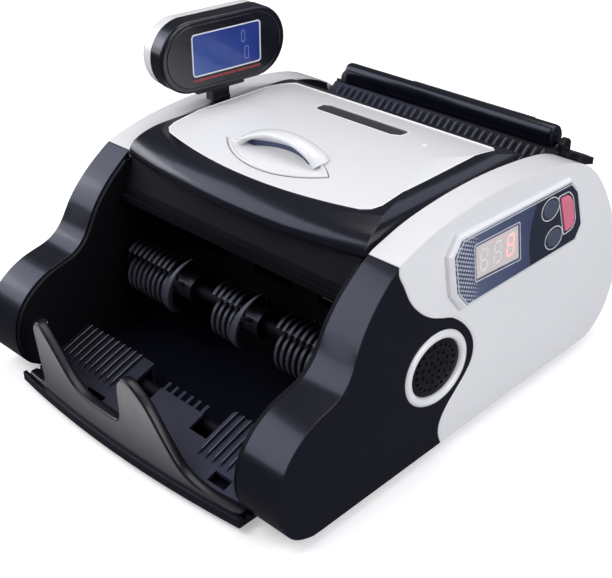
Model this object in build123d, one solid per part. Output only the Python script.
from build123d import *
import os
import math

# Desk-top banknote counting machine, millimetres, +Z up, front faces -Y, right is +X.
# Origin: middle of the base plate's underside, between the side covers.
os.makedirs("parts", exist_ok=True)

# ---------------------------------------------------------------- driving sizes
COVER_IN = 95.0          # inner face of each side cover
WALL_X = 127.0           # outer wall at Z = 0
WALL_LEAN = 0.1          # the outer wall leans inward by this much per mm of height
SKIN = 2.6               # moulded wall thickness
EDGE_R = 10.0            # rounding of the covers' outer edge
SPLIT_GAP = 0.3          # between front and rear covers
PLATE_IN, PLATE_OUT = 92.0, 94.6     # steel side plates
BAY_HALF = 91.6          # half width of the panels between the side plates
FOOT_H = 4.0
BASE_T = 2.2
BASE_HALF = 94.4         # half width of the base pan's bowed front
LIP_H = 5.6              # front lip of the base pan
SEAT_Z = BASE_T + 0.2    # underside of the parts that stand on the base

# axes along X, as (Y, Z)
IMPELLER = (-52.0, 50.0)
MAIN = (18.0, 90.0)      # main feed roller
KICKER = (110.6, 87.2)   # pick-up roller
MOTOR = (62.0, 34.0)
HINGE = (82.0, 112.0)    # top cover hinge rod
PINCH = (18.0, 112.3)    # idlers carried by the top cover
FLAP = (142.0, 119.5)    # hinge of the hopper extension
TILT = (0.0, 149.0)      # tilt pin of the display, before the head is turned
TIE_RODS = [(-101.0, 8.0), (-28.0, 103.6), (28.0, 16.4), (130.0, 60.0)]

SHAFT_R = 4.0
BORE_R = SHAFT_R + 0.02  # bore of the wheels and pulleys on a shaft
BEARING_R = 7.0
HINGE_R = 2.5
MAIN_R, KICKER_R, PINCH_R, IMPELLER_R = 16.0, 12.0, 6.0, 24.0

# closed side profile in (Y, Z): down the front, then over the top and down the rear
FRONT = [
    (-48, 120.5), (-57, 114.2), (-66, 106.6), (-74, 98.0), (-80, 89.5), (-84.5, 81.0),
    (-89.5, 74.0), (-96.5, 69.0), (-105, 66.5), (-114, 64.2), (-122, 60.6), (-129, 55.8),
    (-135, 49.8), (-139.7, 41.5), (-142, 31.5), (-141.6, 22.0), (-138.6, 13.6),
    (-132.6, 7.2), (-124.5, 3.6), (-116, 2.5)]
TOP_REAR = [
    (-48, 120.5), (-38, 124.0), (-26, 127.2), (-10, 130.0), (10, 132.0), (38, 132.9),
    (62, 132.0), (83, 130.0), (100, 127.6), (114, 124.0), (127, 118.0), (138.5, 108.5),
    (148.5, 95.0), (157, 78.5), (162.5, 62.0), (164.5, 48.0), (163, 34.0), (158, 22.0),
    (150, 12.0), (141, 6.4), (131, 2.5)]
JOIN_DIR = (0.86, 0.51)      # direction of the profile where its two curves meet
END_DIR = (-0.93, -0.37)     # and where the rear curve runs into the bottom edge


# ---------------------------------------------------------------- helpers
def box(x0, x1, y0, y1, z0, z1):
    middle = Pos((x0 + x1) / 2, (y0 + y1) / 2, (z0 + z1) / 2)
    return middle * Box(abs(x1 - x0), abs(y1 - y0), abs(z1 - z0))


def rod_x(x0, x1, yz, radius):
    return Pos((x0 + x1) / 2, yz[0], yz[1]) * Rot(0, 90, 0) * Cylinder(radius, abs(x1 - x0))


def rod_z(x, y, z0, z1, radius):
    return Pos(x, y, (z0 + z1) / 2) * Cylinder(radius, abs(z1 - z0))


def tube_x(x0, x1, yz, radius, bore):
    low, high = sorted((x0, x1))
    return rod_x(low, high, yz, radius) - rod_x(low - 5, high + 5, yz, bore)


def polygon(points):
    return make_face(Polyline(*points, close=True))


def extrude_x(face, x0, x1):
    return extrude(Plane.YZ.offset(x0) * face, amount=x1 - x0)


def prism_x(points, x0, x1):
    """Polygon in (Y, Z), drawn out along X."""
    return extrude_x(polygon(points), x0, x1)


def prism_y(points, y0, y1):
    """Polygon in (X, Z), drawn out along Y."""
    return extrude(polygon([(x, y0, z) for x, z in points]), amount=y1 - y0, dir=(0, 1, 0))


def column(sketch, z0, height=60):
    return extrude(Pos(0, 0, z0) * sketch, amount=height)


def polar(radius, degrees, centre=(0, 0)):
    angle = math.radians(degrees)
    return (centre[0] + radius * math.cos(angle), centre[1] + radius * math.sin(angle))


def grow(sketch, amount):
    """Offset outward with sharp corners."""
    return offset(sketch, amount=amount, kind=Kind.INTERSECTION)


def largest(shape):
    """Largest solid of a shape, so that a stray sliver never rides along."""
    return sorted(shape.solids(), key=lambda solid: solid.volume)[-1]


def ease(operation, edges, sizes, shape):
    """Fillet or chamfer at the first size that works; failing all, the shape as it was."""
    for size in sizes:
        # guards against a size the kernel cannot build on these edges
        try:
            return operation(edges, size)
        except Exception:
            pass
    return shape


def group(items):
    return Compound(children=[solid for item in items for solid in item.solids()])


def mirrored(shape):
    return mirror(shape, about=Plane.YZ)


def save(name, shape):
    shape.label = name
    export_step(shape, f"parts/{name}.step")


# ---------------------------------------------------------------- side profile
FRONT_EDGE = Spline(*FRONT, tangents=((-JOIN_DIR[0], -JOIN_DIR[1]), (1, 0)))
TOP_EDGE = Spline(*TOP_REAR, tangents=(JOIN_DIR, END_DIR))
PROFILE = make_face([FRONT_EDGE, TOP_EDGE, Line(FRONT[-1], TOP_REAR[-1])])


def inset_points(depth):
    """Points of the side profile moved inward: front curve, then top and rear curve."""
    curves = []
    for edge, sign, count in ((FRONT_EDGE.edge(), 1, 34), (TOP_EDGE.edge(), -1, 44)):
        points = []
        for i in range(count + 1):
            p, t = edge @ (i / count), edge % (i / count)
            points.append((p.X - sign * t.Y * depth, p.Y + sign * t.X * depth))
        curves.append(points)
    front, rear = curves
    front[0] = rear[0] = ((front[0][0] + rear[0][0]) / 2, (front[0][1] + rear[0][1]) / 2)
    return front, rear


def inset_face(depth):
    front, rear = inset_points(depth)
    return make_face([Spline(*front), Spline(*rear), Line(front[-1], rear[-1])])


# ---------------------------------------------------------------- side covers
# opening in the inner wall, (Y, Z)
WINDOW = [
    (-38, 105), (-66, 84), (-84, 58), (-108, 50), (-126, 38), (-128, 20), (-120, 12),
    (118, 12), (140, 26), (149, 48), (144, 72), (130, 96), (112, 108), (90, 114),
    (10, 116), (-20, 112)]
# line between the black front cover and the white rear cover, (Y, Z)
DIVIDER = [
    (-47.5, 124), (-48, 120.5), (-48.5, 117), (-46, 110.5), (-42, 101), (-35.5, 91.5),
    (-26.5, 84), (-17, 79.5), (-7, 75.5), (3, 67.5), (9.5, 59), (12, 50), (9.5, 41.5),
    (2.5, 34.5), (-6, 28.5), (-14, 22.5), (-19.5, 16), (-21, 9.5), (-19.5, 4), (-18.5, 1)]


def wall_x(z, depth=0.0):
    return WALL_X - depth - WALL_LEAN * z


def beyond_wall(depth):
    """Everything outside the leaning wall, moved inward by depth."""
    corners = [(wall_x(-30, depth), -30), (200, -30), (200, 220), (wall_x(220, depth), 220)]
    return prism_y(corners, -200, 220)


def cover_block():
    """Solid right cover with its outer edge rounded."""
    block = largest(extrude_x(PROFILE, COVER_IN, 132) - beyond_wall(0.0))
    edges = [e for e in block.edges() if e.center().X > COVER_IN + 4
             and abs((e @ 0.5).X - wall_x((e @ 0.5).Z)) < 0.05]
    return largest(ease(fillet, edges, (EDGE_R, EDGE_R * 0.8, EDGE_R * 0.5), block))


def cover_shell():
    """Hollow right cover, front and rear in one."""
    hollow_x = COVER_IN + SKIN
    # the hollow is stepped inside the rounded edge so that the wall keeps its thickness
    wide = extrude_x(inset_face(SKIN), hollow_x, 132) - beyond_wall(6.6)
    deep = extrude_x(inset_face(6.2), hollow_x, 132) - beyond_wall(SKIN)
    bottom = box(hollow_x, 118, -120, 124, -2, 12)
    window = prism_x(WINDOW, COVER_IN - 1, hollow_x + 1)
    screw_recess = rod_x(94, 98.5, TIE_RODS[0], 4.6)
    return largest(cover_block() - wide - deep - bottom - window - screw_recess)


shell = cover_shell()
rear_region = make_face([Spline(*DIVIDER), Polyline(
    DIVIDER[-1], (-18.5, -20), (220, -20), (220, 200), (-47.5, 200), DIVIDER[0])])
rear_block = extrude_x(rear_region.moved(Pos(SPLIT_GAP / 2, 0)), 80, 140)
front_block = box(80, 140, -200, 220, -20, 200) - extrude_x(
    rear_region.moved(Pos(-SPLIT_GAP / 2, 0)), 80, 140)
white = largest(shell & rear_block)
black = largest(shell & front_block)

# ---------------------------------------------------------------- right wall sketches
WALL_PLANE = Plane(origin=(WALL_X, 0, 0), x_dir=(0, 1, 0), z_dir=(1, 0, WALL_LEAN))


def on_wall(sketch, n0, n1):
    """Sketch in (Y, Z) of the right wall, drawn out from n0 to n1 along its outward normal."""
    return extrude(WALL_PLANE.offset(n0) * sketch, amount=n1 - n0)


def ellipse(centre, radius_y, radius_z):
    return Pos(*centre) * Ellipse(radius_y, radius_z)


SPEAKER = (-21.0, 51.3)
PAD_H = 4.0              # control panel pad, above the wall
PANEL = [(101, 117.3), (108, 110.3), (112.9, 88.1), (106.2, 80.1),
         (0.7, 81.2), (-7.1, 91.1), (-8.9, 112.2), (-2.3, 119.4)]
LED_Y0, LED_Y1, LED_Z0, LED_Z1 = 9.0, 48.2, 90.6, 112.0      # window of the digits
COUNT, MODE, RESET = (79.0, 109.0), (83.0, 90.0), (97.0, 101.0)      # buttons
RESET_OUTLINE = [(89.0, 112.1), (97.4, 111.9), (101.4, 108.0),
                 (104.4, 93.8), (102.0, 90.2), (94.4, 89.6)]

panel_sketch = polygon(PANEL)
led_sketch = polygon([(LED_Y0, LED_Z0 + 2.6), (LED_Y1, LED_Z0),
                      (LED_Y1 - 1.0, LED_Z1 - 1.2), (LED_Y0 - 0.5, LED_Z1)])
reset_sketch = polygon(RESET_OUTLINE)

# raised pad of the control panel, moulded with the right rear cover
pad = on_wall(grow(panel_sketch, 3.0), -0.6, PAD_H)
pad_top = pad.faces().sort_by(Axis((0, 0, 0), (1, 0, WALL_LEAN)))[-1]
pad = ease(chamfer, pad_top.edges(), (1.6,), pad)
pad_void = on_wall(grow(panel_sketch, 0.6), -SKIN - 2, PAD_H - 1.8)
holes = on_wall(grow(led_sketch, 0.2), 0, 9)
for centre in (COUNT, MODE):
    holes = holes + on_wall(ellipse(centre, 7.8, 5.6), 0, 9)
holes = holes + on_wall(grow(reset_sketch, 0.3), 0, 9)

# the speaker opens through the right front cover only
save("right_front_cover", largest(black - on_wall(ellipse(SPEAKER, 23.2, 17.8), -6, 6)))
save("left_front_cover", mirrored(black))
save("right_rear_cover", largest((white + pad) - pad_void - holes))
save("left_rear_cover", mirrored(white))

# ---------------------------------------------------------------- speaker
ring_opening = ellipse(SPEAKER, 20.8, 15.6)
ring = (on_wall(ellipse(SPEAKER, 26.0, 20.5) - ring_opening, 0.05, 1.4)
        + on_wall(ellipse(SPEAKER, 23.0, 17.6) - ring_opening, -3.0, 0.06))
save("speaker_ring", largest(ring))

# grille holes: a centre hole, then rings of (count, fraction of the 20 x 15 ellipse)
GRILLE_RINGS = ((6, 0.27), (12, 0.53), (20, 0.80))
hole_points = [(0, 0)]
for k, (count, fraction) in enumerate(GRILLE_RINGS):
    for i in range(count):
        y, z = polar(fraction, 360 * (i + 0.5 * (k % 2)) / count)
        hole_points.append((20.0 * y, 15.0 * z))
dots = Sketch() + [Pos(SPEAKER[0] + y, SPEAKER[1] + z) * Circle(1.25) for y, z in hole_points]
grille = on_wall(ellipse(SPEAKER, 20.6, 15.4), -2.4, -0.8) - on_wall(dots, -4, 2)
save("speaker_grille", largest(grille))

driver = (on_wall(ellipse(SPEAKER, 20.0, 15.0), -5.0, -2.9)
          + on_wall(ellipse(SPEAKER, 11.0, 9.0), -9.5, -5.0)
          + on_wall(ellipse(SPEAKER, 8.0, 8.0), -14.0, -9.5))
save("speaker_driver", largest(driver))

# ---------------------------------------------------------------- control panel
save("panel_overlay", largest(on_wall(panel_sketch, PAD_H + 0.03, PAD_H + 0.75) - holes))
save("led_window", largest(on_wall(led_sketch, PAD_H - 1.6, PAD_H + 0.6)))


def button(cap, flange, centre):
    return largest(on_wall(cap, 1.0, PAD_H + 1.7) + on_wall(flange, 0.2, 1.8)
                   + on_wall(Pos(*centre) * Circle(1.6), -1.2, 0.3))


for name, centre in (("count_button", COUNT), ("mode_button", MODE)):
    save(name, button(ellipse(centre, 7.5, 5.3), ellipse(centre, 8.7, 6.6), centre))
save("reset_button", button(reset_sketch, grow(reset_sketch, 0.9), RESET))

# board with the digit block and a switch under each button
board = (on_wall(Pos(54, 100.5) * Rectangle(100, 30), -5.2, -3.6)
         + on_wall(Pos(30.5, 101.5) * Rectangle(40, 18), -3.7, PAD_H - 1.9))
for centre in (COUNT, MODE, RESET):
    board = board + on_wall(Pos(*centre) * Rectangle(6, 6), -3.7, -2.4)
save("panel_board", largest(board))

# ---------------------------------------------------------------- base pan and feet
FEET = [(side * 96, y) for side in (-1, 1) for y in (-104, 108)]
BOARD_POSTS = [(x, y) for x in (-4, 80) for y in (96, 120)]
BOARD_Z = 8.0            # underside of the main board

# bowed front edge of the base in plan, (X, Y)
bow = [(x, -147.0 + 6.0 * (x / BASE_HALF) ** 2)
       for x in [-BASE_HALF + BASE_HALF * i / 10 for i in range(21)]]
bow_inner = [(x, y + 2.4) for x, y in bow]
front_plan = make_face([Spline(*bow), Polyline(
    bow[-1], (BASE_HALF, -100), (-BASE_HALF, -100), bow[0])])
lip_plan = make_face([Spline(*bow), Line(bow[-1], bow_inner[-1]),
                      Spline(*bow_inner), Line(bow_inner[0], bow[0])])
base = (box(-121, 121, -118, 128, 0, BASE_T) + extrude(front_plan, amount=BASE_T)
        + extrude(lip_plan, amount=LIP_H))
for x, y in FEET:
    base = base - rod_z(x, y, -1, 5, 2.1)
# a shallow ring groove marks the flat reference disc under the middle
base = base - (rod_z(0, 0, -1, 0.6, 18.0) - rod_z(0, 0, -2, 2, 16.0))
for y in (40, 52, 64, 76):                      # air slots under the motor
    base = base - box(-30, 10, y - 2, y + 2, -1, 5)
for x, y in BOARD_POSTS:
    base = base + rod_z(x, y, 0, BOARD_Z - 0.15, 3.0)
save("base_pan", largest(base))
save("rubber_feet", group([rod_z(x, y, -FOOT_H, 0, 9.0) + rod_z(x, y, -0.01, 2.2, 1.95)
                           for x, y in FEET]))

# ---------------------------------------------------------------- side plates and tie rods
# the plate follows the cover profile, deeper inset down the rear
front_line, top_line = inset_points(0.8)
lid_seat = [q for q in top_line if 89.5 < q[0] < 126.5]
back_line = [q for q in inset_points(4.6)[1] if q[0] > 128.5 and q[1] > 3.4]
outline = [q for q in front_line[::-1] if 3.2 < q[1] < 115.5]
outline = [(outline[0][0], SEAT_Z)] + outline + [(-53.5, 116.0), (89.0, 116.0)]
outline += [(89.0, lid_seat[0][1] + 0.1)] + lid_seat
outline += [(126.6, back_line[0][1])] + back_line + [(back_line[-1][0] - 1.0, SEAT_Z)]
plate = prism_x(outline, PLATE_IN, PLATE_OUT)
PLATE_HOLES = [(axis, BEARING_R + 0.04) for axis in (IMPELLER, MAIN, KICKER)]
PLATE_HOLES += [(HINGE, HINGE_R + 0.06)] + [(axis, 1.8) for axis in TIE_RODS]
for axis, radius in PLATE_HOLES:
    plate = plate - rod_x(90, 96, axis, radius)
plate = largest(plate - prism_x([(60, 30), (100, 30), (100, 60), (60, 60)], 90, 96))
save("right_side_plate", plate)
save("left_side_plate", largest(mirrored(plate) - rod_x(-96, -90, MOTOR, 9.5)))

ROD_END = PLATE_IN - 0.1
save("tie_rods", group([
    rod_x(-ROD_END, ROD_END, axis, 3.6) - rod_x(-92, -80, axis, 1.66) - rod_x(80, 92, axis, 1.66)
    for axis in TIE_RODS]))


def rod_screw(axis, side):
    """Slotted screw through a side plate into a tie rod."""
    y, z = axis
    screw = (rod_x(side * 94.7, side * 96.6, axis, 3.4)
             + rod_x(side * 82.5, side * 94.8, axis, 1.6))
    return largest(screw - box(side * 95.8, side * 97, y - 4, y + 4, z - 0.4, z + 0.4))


def bay_screw(side):
    """Small slotted screw on the inner wall at the mouth of the bay."""
    head = rod_x(side * 90.3, side * 91.9, (-125, 34), 3.0)
    return largest(head - box(side * 90, side * 91.1, -128.5, -121.5, 33.6, 34.4))


screws = [rod_screw(axis, side) for axis in TIE_RODS for side in (-1, 1)]
save("frame_screws", group(screws + [bay_screw(side) for side in (-1, 1)]))

# ---------------------------------------------------------------- rear housing
# outlines in (Y, Z)
LEDGE = [(143.6, 115.2), (163.0, 107.6), (163.0, 103.4), (152.0, 105.8), (147.0, 94.0),
         (143.0, 98.0), (136.6, 105.6), (137.5, 115.2)]
LEDGE_END = [(143.6, 115.2), (159.0, 109.2), (159.0, 104.6), (150.0, 107.2), (143.6, 109.6)]
LUG = [(136.5, 112), (146.5, 112), (146.5, 121), (144, 123.4), (140, 123.4), (137.5, 121)]

skin_out = [q for q in inset_points(1.2)[1] if q[0] > 133 and q[1] > 5.4]
skin_in = [q for q in inset_points(1.2 + SKIN)[1] if q[0] > 133 and q[1] > 6.4][::-1]
section = make_face([Spline(*skin_out), Line(skin_out[-1], skin_in[0]),
                     Spline(*skin_in), Line(skin_in[-1], skin_out[0])])
rear = extrude_x(section, -PLATE_OUT, PLATE_OUT)
ledge = prism_x(LEDGE, -PLATE_OUT, PLATE_OUT)
for x0, x1 in ((-94.5, -100.5), (94.5, 100.5)):     # its ends reach out over the covers
    ledge = ledge + prism_x(LEDGE_END, x0, x1)
rear = rear + ledge
lug = prism_x(LUG, 86.6, 90.6)
rear = rear + lug + mirrored(lug)
rear = rear - rod_x(-92, 92, FLAP, 1.6)
# openings of the power inlet and the power switch, then the louvres
rear = rear - box(-76, -46, 150, 172, 28.5, 53.5) - box(-41, -25, 150, 172, 30.5, 52.5)
for i in range(7):
    rear = rear - box(14, 70, 140, 172, 36 + i * 5.0, 38 + i * 5.0)
save("rear_housing", largest(rear))

# ---------------------------------------------------------------- hopper
BED_LOW, BED_HIGH = (88.0, 82.4), (132.4, 118.4)     # ends of the sloping bed, (Y, Z)
bed_slope = (BED_HIGH[1] - BED_LOW[1]) / (BED_HIGH[0] - BED_LOW[0])


def bed_z(y):
    return BED_LOW[1] + (y - BED_LOW[0]) * bed_slope


bed = prism_x([BED_LOW, BED_HIGH, (132.4, 115.2), (90.2, 81.0), (89.2, 74), (86.6, 74)],
              -91.4, 91.4)
for i in range(31):
    x = -82.5 + i * 5.5
    # ribs in line with the roller openings are short
    y0, y1 = (123.0, 126.5) if 24 < abs(x) < 42 else (94.0, 126.0)
    rib = [(y0, bed_z(y0) - 0.4), (y1, bed_z(y1) - 0.4),
           (y1 - 1.4, bed_z(y1) + 1.8), (y0 - 1.4, bed_z(y0) + 1.8)]
    bed = bed + prism_x(rib, x - 0.45, x + 0.45)
for side in (-1, 1):
    bed = bed - box(side * 25, side * 41, 96.5, 121.5, 60, 125)
save("hopper_bed", largest(bed))

EXTENSION = [(133.4, 118.0), (141.0, 116.9), (145.6, 119.0), (146.6, 125.2),
             (143.0, 130.4), (138.6, 131.6), (134.6, 129.6), (133.2, 125.0)]     # (Y, Z)
EXTENSION_HALF = 84.0
extension = prism_x(EXTENSION, -EXTENSION_HALF, EXTENSION_HALF)
upper_edges = [e for e in extension.edges()
               if abs(e.length - 2 * EXTENSION_HALF) < 0.1 and (e @ 0.5).Z > 122]
extension = ease(fillet, upper_edges, (1.6,), extension)
extension = extension + rod_x(-90.4, -80, FLAP, 1.52) + rod_x(80, 90.4, FLAP, 1.52)
save("hopper_extension", largest(extension))

# ---------------------------------------------------------------- stacker floor
FLOOR_BACK = (-93.0, 19.0)       # (Y, Z), the floor falls 1 in 3 towards the front


def floor_z(y):
    return FLOOR_BACK[1] + (y - FLOOR_BACK[0]) / 3.0


def floor_prism(points, x0, x1):
    """Polygon in (Y, height above the sloping floor), drawn out along X."""
    return prism_x([(y, floor_z(y) + height) for y, height in points], x0, x1)


floor = prism_x([(-136, floor_z(-136)), FLOOR_BACK, (-93, 4.0), (-95.2, 4.0),
                 (-95.2, FLOOR_BACK[1] - 3.1), (-136, floor_z(-136) - 2.2)],
                -BAY_HALF, BAY_HALF)
floor_plan = ([(-BAY_HALF, -131.0)] + [(x, y + 10.2) for x, y in bow if abs(x) < 91]
              + [(BAY_HALF, -131.0), (BAY_HALF, -92), (-BAY_HALF, -92)])
floor = floor & extrude(polygon([(x, y, -5) for x, y in floor_plan]), amount=65, dir=(0, 0, 1))
for x0, x1, y0 in ((-28, -10, -114), (26, 40, -114), (-11, 27, -103)):     # rear cut-outs
    floor = floor - box(x0, x1, y0, -90, -5, 60)
for i in range(6):                              # teeth across the middle cut-out
    x = -9 + i * 6.4
    floor = floor + floor_prism([(-103.5, 0), (-97.5, 0), (-98.6, -2.2), (-103.5, -2.2)],
                                x, x + 2.2)
# left and right rows of ribs: first X, pitch, count, front Y
for first_x, pitch, count, front_y in ((-86.5, 5.3, 10, -120), (43.5, 5.4, 7, -124)):
    for i in range(count):
        x = first_x + pitch * i
        rib = [(front_y, -0.5), (-93.2, -0.5), (-93.2, 1.8), (-96, 1.6), (front_y + 3, 1.4)]
        floor = floor + floor_prism(rib, x - 0.55, x + 0.55)
for x0, x1 in ((-50, -34), (60, 73)):
    floor = floor - box(x0, x1, -131.5, -125, -5, 60)
save("stacker_floor", largest(floor))

# ---------------------------------------------------------------- front stop
# outline seen from the front, (X, Z)
STOP_OUTLINE = [
    (-91.4, SEAT_Z), (91.4, SEAT_Z), (91.4, 6), (66, 8.2), (58, 10.5), (50, 15),
    (43, 23.5), (37, 31), (32, 37.5), (27, 43.2), (20, 48.6), (14, 51.4), (9, 51.6),
    (5.4, 48.6), (4, 42), (4.4, 30), (4.6, 24), (2.4, 21.5), (-12, 20.6), (-25, 20.4),
    (-35, 23), (-43, 27.6), (-52, 35), (-60, 41.6), (-66, 46.2), (-70.5, 48.4),
    (-75, 47.2), (-78, 42), (-77, 36), (-71.6, 12), (-73, 8), (-80, 6.4), (-91.4, 6)]
stop_front = [(x, y + 2.7) for x, y in bow if abs(x) < 90]
stop_front = [(-91.4, -138.7)] + stop_front + [(91.4, -138.7)]
stop_back = [(x, y + 6.5) for x, y in stop_front]
strip = make_face([Spline(*stop_front), Line(stop_front[-1], stop_back[-1]),
                   Spline(*stop_back), Line(stop_back[0], stop_front[0])])
save("front_stop", largest(extrude(strip, amount=60) & prism_y(STOP_OUTLINE, -160, -120)))

# ---------------------------------------------------------------- back of the bay
UPPER_PANEL = [(-48.5, 117.0), (-56.0, 101.5), (-57.5, 95.0), (-34.0, 91.0),
               (-34.0, 92.6), (-55.4, 96.4), (-54.4, 100.9), (-46.9, 116.4)]     # (Y, Z)
save("bay_upper_panel", largest(prism_x(UPPER_PANEL, -BAY_HALF, BAY_HALF)))

# a slot across the lower panel is bridged in four places
lower = box(-BAY_HALF, BAY_HALF, -26.4, -24.4, SEAT_Z, 88)
lower = lower - box(-BAY_HALF, BAY_HALF, -27, -24, 60, 72)
for x0, x1 in ((-BAY_HALF, -86), (86, BAY_HALF), (20, 40), (-34, -12)):
    lower = lower + box(x0, x1, -26.4, -24.4, 59, 73)
save("bay_back_panel", largest(lower))
save("sensor_rail", largest(box(-91.5, 91.5, -60.6, -58.2, 93.6, 97.4)))

# ---------------------------------------------------------------- drive lanes
# X ranges of the three belt lanes: motor to main, main to impeller, main to kicker
MOTOR_LANE, IMPELLER_LANE, FEED_LANE = (-111.5, -105.5), (-104.5, -98.5), (97.5, 103.5)
MOTOR_PULLEY_R, MAIN_LARGE_R, MAIN_SMALL_R = 8, 16, 14
IMPELLER_PULLEY_R, FEED_PULLEY_R = 20, 10
MOTOR_SHAFT_R = 3.0


def pulley(lane, axis, radius, bore=BORE_R):
    return largest(tube_x(*lane, axis, radius, bore))


# ---------------------------------------------------------------- impeller
TINES = 9
FINGER_PITCH = 4.5
save("impeller_shaft", rod_x(-107.5, 95.8, IMPELLER, SHAFT_R))


def tine(start):
    """Curved finger: starts on the hub at this angle and sweeps on to the rim, tapering."""
    low, high = [], []
    for i in range(9):
        t = i / 8
        radius = 9.0 + (IMPELLER_R - 9.0) * t
        angle = start + 78 * t ** 1.15
        half_angle = math.degrees((2.3 - 1.3 * t) / radius / 2)
        low.append(polar(radius, angle - half_angle))
        high.append(polar(radius, angle + half_angle))
    return polygon(low + high[::-1])


finger_disc = Circle(10.0)
for k in range(TINES):
    finger_disc = finger_disc + tine(360 * k / TINES)
finger_disc = finger_disc - Circle(BORE_R)
paddle = polygon([polar(23.2, a) for a in range(118, 206, 8)]
                 + [polar(20.8, a) for a in range(204, 117, -8)])
paddle_arm = polygon([(-6, 5), (-21.6, 5.5), (-21.8, 2.2), (-7.5, 1.0)])


def wheel(x0, count, paddle_width):
    """Row of finger discs on a hub, with a wide paddle beside them if it has a width."""
    def slice_at(x, sketch, width):
        return extrude(Plane.YZ.offset(x) * (Pos(*IMPELLER) * sketch), amount=width)

    end = x0 + count * FINGER_PITCH
    body = (rod_x(x0, end + paddle_width, IMPELLER, 8.6)
            - rod_x(x0 - 1, end + 20, IMPELLER, BORE_R))
    for i in range(count):
        body = body + slice_at(x0 + i * FINGER_PITCH, finger_disc, FINGER_PITCH - 1.3)
    if paddle_width:
        body = body + slice_at(end - 1.4, paddle, paddle_width + 1.3)
        body = body + slice_at(end - 1.4, paddle_arm, paddle_width * 0.5)
    return largest(body)


save("impeller_wheels", group([wheel(-83.0, 9, 11.0), wheel(-7.0, 5, 10.0), wheel(44.5, 8, 0)]))
save("shaft_bearings", group([
    tube_x(side * 91.4, side * 95.4, axis, BEARING_R, SHAFT_R + 0.05)
    for axis in (IMPELLER, MAIN, KICKER) for side in (-1, 1)]))
save("impeller_pulley", pulley(IMPELLER_LANE, IMPELLER, IMPELLER_PULLEY_R))

# ---------------------------------------------------------------- feed rollers
save("main_roller_shaft", rod_x(-112.5, 104.5, MAIN, SHAFT_R))


def tyre(x0):
    """Main roller tyre with three shallow grooves."""
    body = tube_x(x0, x0 + 14, MAIN, MAIN_R, BORE_R)
    for groove in (3.5, 7.0, 10.5):
        x = x0 + groove
        body = body - tube_x(x - 0.5, x + 0.5, MAIN, MAIN_R + 1, MAIN_R - 0.8)
    return body


save("main_roller_tyres", group([tyre(x0) for x0 in (-60, -30, 16, 46)]))
stepped = (rod_x(*MOTOR_LANE, MAIN, MAIN_LARGE_R)
           + rod_x(MOTOR_LANE[1] - 0.1, IMPELLER_LANE[1], MAIN, MAIN_SMALL_R)
           - rod_x(-115, -90, MAIN, BORE_R))
save("main_roller_pulleys", group([largest(stepped), pulley(FEED_LANE, MAIN, FEED_PULLEY_R)]))
save("kicker_shaft", group([rod_x(-95.8, 104.5, KICKER, SHAFT_R),
                            pulley(FEED_LANE, KICKER, FEED_PULLEY_R)]))


def kicker_roller(side):
    """Pick-up roller with five round flutes."""
    body = tube_x(side * 26.5, side * 39.5, KICKER, KICKER_R, BORE_R)
    for k in range(5):
        flute = polar(KICKER_R + 0.7, 360 * k / 5, KICKER)
        body = body - rod_x(side * 26, side * 40, flute, 1.8)
    return largest(body)


save("kicker_rollers", group([kicker_roller(side) for side in (-1, 1)]))

# curved sheet around the front of the main roller
guide_angles = [150 + i * 8 for i in range(13)]
guide = prism_x([polar(19.0, a, MAIN) for a in guide_angles]
                + [polar(20.4, a, MAIN) for a in guide_angles[::-1]], -88, 88)
save("note_guide", largest(guide))

# ---------------------------------------------------------------- motor and belts
save("motor_body", largest(rod_x(-58, 20, MOTOR, 20.5) + rod_x(-62, -58, MOTOR, 7.0)))
save("motor_rotor", group([
    rod_x(-112.0, -62.3, MOTOR, MOTOR_SHAFT_R),
    pulley(MOTOR_LANE, MOTOR, MOTOR_PULLEY_R, MOTOR_SHAFT_R + 0.02)]))
bracket = box(-61.2, -58.3, 38, 86, SEAT_Z, 60) - rod_x(-65, -50, MOTOR, 7.4)
bracket = bracket + box(-61.2, -40, 38, 86, SEAT_Z, BASE_T + 2.6)
save("motor_bracket", largest(bracket))


def belt(axis_a, radius_a, axis_b, radius_b, lane):
    def hull(gap):
        return make_hull((Pos(*axis_a) * Circle(radius_a + gap)).edges()
                         + (Pos(*axis_b) * Circle(radius_b + gap)).edges())
    return largest(extrude_x(hull(1.35) - hull(0.12), lane[0] + 0.7, lane[1] - 0.7))


save("drive_belts", group([
    belt(MOTOR, MOTOR_PULLEY_R, MAIN, MAIN_LARGE_R, MOTOR_LANE),
    belt(MAIN, MAIN_SMALL_R, IMPELLER, IMPELLER_PULLEY_R, IMPELLER_LANE),
    belt(MAIN, FEED_PULLEY_R, KICKER, FEED_PULLEY_R, FEED_LANE)]))

# ---------------------------------------------------------------- electrics
save("transformer", largest(box(-84, -30, 92, 124, BASE_T + 0.3, 44)
                            + box(-78, -36, 86, 130, 12, 34)))

board = box(-8, 84, 92, 124, BOARD_Z, BOARD_Z + 1.6)
for x, y in BOARD_POSTS:
    board = board - rod_z(x, y, 5, 12, 1.7)
components = (box(4, 24, 98, 112, 9.5, 16) + box(34, 58, 97, 108, 9.5, 13)
              + box(66, 76, 100, 118, 9.5, 18)
              + rod_z(30, 116, 9.5, 20, 3.5) + rod_z(40, 116, 9.5, 20, 3.5))
save("main_board", largest(board + components))

inlet = box(-75.8, -46.2, 145, 165.4, 28.7, 53.3) - box(-71.5, -50.5, 150, 170, 33, 49)
for x in (-67, -61, -55):                       # contact pins
    inlet = inlet + box(x - 1, x + 1, 149, 162, 39, 43)
save("power_inlet", largest(inlet))

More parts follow.
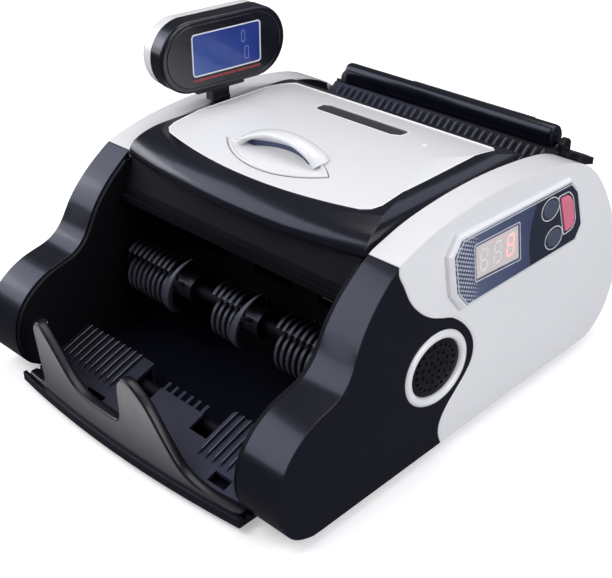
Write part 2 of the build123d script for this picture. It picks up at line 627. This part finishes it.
ROCKER_AXIS = (161.6, 41.5)
ROCKER = [(154.5, 39), (154.5, 44), (160, 49.6), (166.6, 49.4),
          (165.0, 41.5), (166.6, 33.6), (160, 33.4)]     # (Y, Z)
switch = box(-40.8, -25.2, 147, 165.2, 30.7, 52.3) - box(-38.6, -27.4, 151, 170, 32.6, 50.4)
save("power_switch_body", largest(switch - rod_x(-42, -24, ROCKER_AXIS, 1.3)))
save("power_rocker", largest(prism_x(ROCKER, -38.2, -27.8)
                             + rod_x(-40.6, -25.4, ROCKER_AXIS, 1.2)))

# ---------------------------------------------------------------- top cover body
LID_HALF = 93.2
LID_REAR = 90.5
BOW_R = 419.0            # plan radius of the bowed front edge
LID_FRONT = -59.9        # front edge at the middle
# crown of the top, in (Y, Z)
CROWN = [(-80, 124.0), (-60, 128.1), (-44, 131.1), (-29, 133.5), (-12, 135.7), (8, 137.4),
         (30, 138.0), (55, 136.8), (76, 133.7), (86, 131.4), (LID_REAR, 130.1)]
# front band, as (distance behind the front edge, Z)
BAND = [(0.0, 120.4), (0.7, 122.8), (2.6, 125.4), (6.2, 128.0), (11.5, 130.5),
        (18.0, 132.8), (26.0, 135.6), (40.0, 141.6)]
# side rounding, in (X, Z)
SIDE = [(LID_HALF, 120.6), (93.0, 126.3), (91.6, 130.4), (88.4, 133.7), (82.0, 136.4),
        (70.0, 137.9), (50.0, 138.7)]


def lid_body(t, bottom):
    """Crown, bowed front and rounded sides in common, all moved inward by about t."""
    rear_y = LID_REAR - t
    crown = [(y, z - t) for y, z in CROWN]
    crown[-1] = (rear_y, crown[-1][1] + (0.3 if t else 0))
    crown_face = make_face([Spline(*crown), Polyline(
        crown[-1], (rear_y, bottom), (-80, bottom), crown[0])])
    crowned = extrude(Plane.YZ.offset(-LID_HALF + t) * crown_face, amount=2 * (LID_HALF - t))

    # the band is drawn as (distance from the bow's axis, Z) and turned about that axis
    axis_y = LID_FRONT + BOW_R
    band = [(BOW_R - (d + t * (1.0 if d < 3 else 0.75)), z - t * (0.35 if d < 3 else 0.9))
            for d, z in BAND]
    band_face = make_face([Spline(*band), Polyline(
        band[-1], (20, band[-1][1] + 10), (20, bottom), (band[0][0], bottom), band[0])])
    bow_plane = Plane(origin=(0, axis_y, 0), x_dir=(0, -1, 0), z_dir=(-1, 0, 0))
    bowed = revolve(bow_plane * band_face, axis=Axis((0, axis_y, 0), (0, 0, 1)))

    side = [(x - t, z - t * (0.2 if x > 92 else 0.9)) for x, z in SIDE]
    right = [Vector(x, -90, z) for x, z in side]
    left = [Vector(-x, -90, z) for x, z in side]
    foot_x = side[0][0]
    side_face = make_face([
        Spline(*right), Line(right[-1], left[-1]), Spline(*left[::-1]),
        Polyline(left[0], Vector(-foot_x, -90, bottom), Vector(foot_x, -90, bottom), right[0])])
    sided = extrude(side_face, amount=200, dir=(0, 1, 0))
    return largest(largest(crowned & bowed) & sided)


lid_outer = lid_body(0.0, 118.6)
lid_inner = lid_body(SKIN, 112.0)


def lid_sheet(sketch, upper=0.0):
    """Sheet that follows the crowned top, from upper to 1.7 below it."""
    sheet = column(sketch, 125, 35) & (Pos(0, 0, -upper) * lid_outer)
    return largest(sheet - Pos(0, 0, -1.7) * lid_outer)


# ---------------------------------------------------------------- top cover sketches
PLATE_HALF, PLATE_REAR = 82.0, 80.0     # white plate let into the top
plate_front = []
for i in range(25):
    x = -PLATE_HALF + 7 + (2 * PLATE_HALF - 14) * i / 24
    plate_front.append((x, -41.5 + 9.5 * (x / (PLATE_HALF - 7)) ** 2))
plate_plan = make_face([Spline(*plate_front), Polyline(
    plate_front[-1], (PLATE_HALF - 2.2, -28.6), (PLATE_HALF, -23.0), (PLATE_HALF - 1.0, 77.5),
    (PLATE_HALF - 3.4, PLATE_REAR), (-PLATE_HALF + 3.4, PLATE_REAR),
    (-PLATE_HALF + 1.0, 77.5), (-PLATE_HALF, -23.0), (-PLATE_HALF + 2.2, -28.6),
    plate_front[0])])

# lens-shaped bezel of the handle: two arcs meeting at its ends
LENS_Y = -18.0
LENS_HALF_L, LENS_HALF_W = 40.0, 15.5
lens_r = (LENS_HALF_L ** 2 + LENS_HALF_W ** 2) / (2 * LENS_HALF_W)
lens = ((Pos(0, LENS_Y - LENS_HALF_W + lens_r) * Circle(lens_r))
        & (Pos(0, LENS_Y + LENS_HALF_W - lens_r) * Circle(lens_r)))
inlay_sketch = polygon([(-32, 49.5), (-29, 47.5), (29, 47.5), (33.5, 50.5),
                        (33.5, 57.5), (30, 60), (-30, 60), (-33.5, 57.5)])     # (X, Y)

# ---------------------------------------------------------------- top cover pieces
NECK = (-94.0, 24.0)     # upright axis of the outside display, (X, Y)
EAR = [(76.0, 112.5), (80, 106.6), (84.5, 106.6), (88, 112.0), (87.6, 128.9), (76.0, 129.9)]

pocket_plan = scale(plate_plan, (1 + 0.25 / PLATE_HALF, 1 + 0.25 / 60, 1))
frame = largest(lid_outer - lid_inner)
frame = largest(frame - (column(pocket_plan, 125) - Pos(0, 0, -1.9) * lid_outer))
for x0 in (-78, 72):                            # hinge ears
    frame = frame + prism_x(EAR, x0, x0 + 6)
frame = frame - rod_x(-93, 93, HINGE, HINGE_R + 0.08)
# notch for the display neck, then clearances at the rear corners and sides
frame = frame - box(-94, -90.0, NECK[1] - 8.2, NECK[1] + 8.2, 100, 134.5)
for side in (1, -1):
    frame = frame - box(side * 66, side * 94, 83.5, 92, 122, 129)
for side in (1, -1):
    frame = frame - box(side * 91.4, side * 95, 64, 93, 110, 140)
save("top_cover_frame", largest(frame))

lid_plate = (lid_sheet(plate_plan) - column(offset(lens, amount=0.2), 110)
             - column(grow(inlay_sketch, 0.2), 110))
save("lid_plate", largest(lid_plate))
save("lid_inlay", lid_sheet(inlay_sketch, 0.5))

# arched grip over the lens: outer line then inner line, (X, Z)
ARCH = [(-29, 134.0), (-29.5, 139.5), (-25, 144.2), (-14, 147.8), (2, 149.0), (17, 147.9),
        (28, 144.4), (32.5, 139.8), (32, 134.0),
        (26, 134.0), (26.5, 139.0), (22, 142.0), (14, 144.4), (2, 145.4), (-12, 144.4),
        (-20, 142.0), (-24.5, 139.0), (-24, 134.0)]
arch = Pos(-2.0, 0, -2.5) * prism_y(ARCH, -17.5, -6.5)
arch = largest(arch - Pos(0, 0, -1.2) * lid_outer)
# outside the lens, only what stands clear of the top is kept
keep = column(lens, 125) + Pos(0, 0, 0.25) * (column(Rectangle(120, 120), 125) - lid_outer)
save("cover_handle", largest((lid_sheet(lens) + arch) & keep))
save("cover_hinge_rod", rod_x(-94.5, 94.5, HINGE, HINGE_R))

PINCH_PIN_R = 2.0
idlers = rod_x(-68.6, 68.6, PINCH, PINCH_PIN_R)
for x0 in (-57, -27, 19, 49):
    idlers = idlers + rod_x(x0, x0 + 8, PINCH, PINCH_R)
save("pinch_rollers", largest(idlers))


def pinch_bracket(x0):
    """Hanger that reaches up to just under the lid's inner surface."""
    tall, short = [prism_x([(12, 107.5), (24, 107.5), (24, top), (12, top)], x0, x0 + 3)
                   for top in (138.2, 120)]
    hanger = largest((Pos(0, 0, -0.15) * (tall & lid_inner)) + short)
    # a hairline hole runs right through, the pin hole stops short of the outer face
    hanger = largest(hanger - rod_x(-74, 74, PINCH, 0.01))
    return largest(hanger - rod_x(-71.0, 71.0, PINCH, PINCH_PIN_R + 0.06))


save("pinch_brackets", group([pinch_bracket(x0) for x0 in (-72, 69)]))

separator = prism_x([(36, 103.0), (44, 101.5), (52, 104), (52, 116), (34, 116)], -9, 9)
separator = separator + box(-3, 3, 38, 48, 115.9, 136.0)
under_lid = box(-9, 9, 34, 52, 100, 118) + (Pos(0, 0, -0.15) * lid_inner)
save("separator_block", largest(separator & under_lid))

# ---------------------------------------------------------------- outside display
HEAD_YAW = 83.7          # its face is turned this far from the front, towards +X
HEAD_Z = 168.0           # middle of the display head
HEAD_W, HEAD_H = 94.0, 45.0
FACE_Y = -10.0           # face of the bezel, relative to the neck's axis
TILT_PIN_R = 1.5

neck_x, neck_y = NECK
neck = (box(-93.1, -90.2, neck_y - 7, neck_y + 7, 119.2, 136.0)
        + box(-97.2, -90.8, neck_y - 7, neck_y + 7, 134.8, 141.5))
neck = neck + box(-90.3, -88.5, neck_y - 12, neck_y + 12, 119.2, 124.4)
save("display_neck", largest(neck - rod_z(neck_x, neck_y, 136.5, 142, 2.56)))


# the display head is drawn facing -Y about the neck's axis, then turned and placed
def save_turned(name, shape):
    save(name, largest(shape).moved(Pos(neck_x, neck_y, 0) * Rot(0, 0, HEAD_YAW)))


def head_prism(sketch, y0, y1):
    """Sketch in (X, Z) about the middle of the head, drawn from y0 to y1."""
    plane = Plane(origin=(0, y1, HEAD_Z), x_dir=(1, 0, 0), z_dir=(0, -1, 0))
    return extrude(plane * sketch, amount=y1 - y0)


def head_slab(trim, y0, y1):
    return head_prism(SlotOverall(HEAD_W - trim, HEAD_H - trim), y0, y1)


bracket_slot = box(-7.2, 7.2, -5.2, 5.2, 140, 155.5)
lcd_sketch = Pos(1.2, 0.8) * RectangleRounded(51, 25.4, 1.2)

bezel = head_slab(0, FACE_Y, 1.9)
bezel = ease(fillet, bezel.faces().sort_by(Axis.Y)[0].edges(), (2.2,), bezel)
bezel = bezel - head_slab(5, FACE_Y + 2.6, 5)
bezel = bezel - head_prism(offset(lcd_sketch, amount=0.15), FACE_Y - 1, FACE_Y + 3)
bezel = bezel - bracket_slot
# bosses on both sides of the slot carry the tilt pin
bosses = box(-12.5, -7.4, -2.6, 2.6, 145.9, 152.5) + box(7.4, 12.5, -2.6, 2.6, 145.9, 152.5)
save_turned("display_bezel", (bezel + bosses) - rod_x(-13, 13, TILT, TILT_PIN_R + 0.03))

back = head_slab(1.0, 2.1, 12.8)
back = ease(fillet, back.faces().sort_by(Axis.Y)[-1].edges(), (4.0,), back)
back = back - head_slab(6, 1.0, 10.3)
back = back - bracket_slot
save_turned("display_back", back - box(-13, 13, 1.5, 3.2, 145, 153))
save_turned("display_lcd", head_prism(lcd_sketch, FACE_Y + 0.35, FACE_Y + 2.5))
save_turned("display_bracket",
            box(-18, 18, -4, 4, 141.8, 143.9) + box(-6.8, 6.8, -2.6, 2.6, 143.8, 151.6)
            + rod_x(-12.3, 12.3, TILT, TILT_PIN_R) + rod_z(0, 0, 137, 141.9, 2.5))
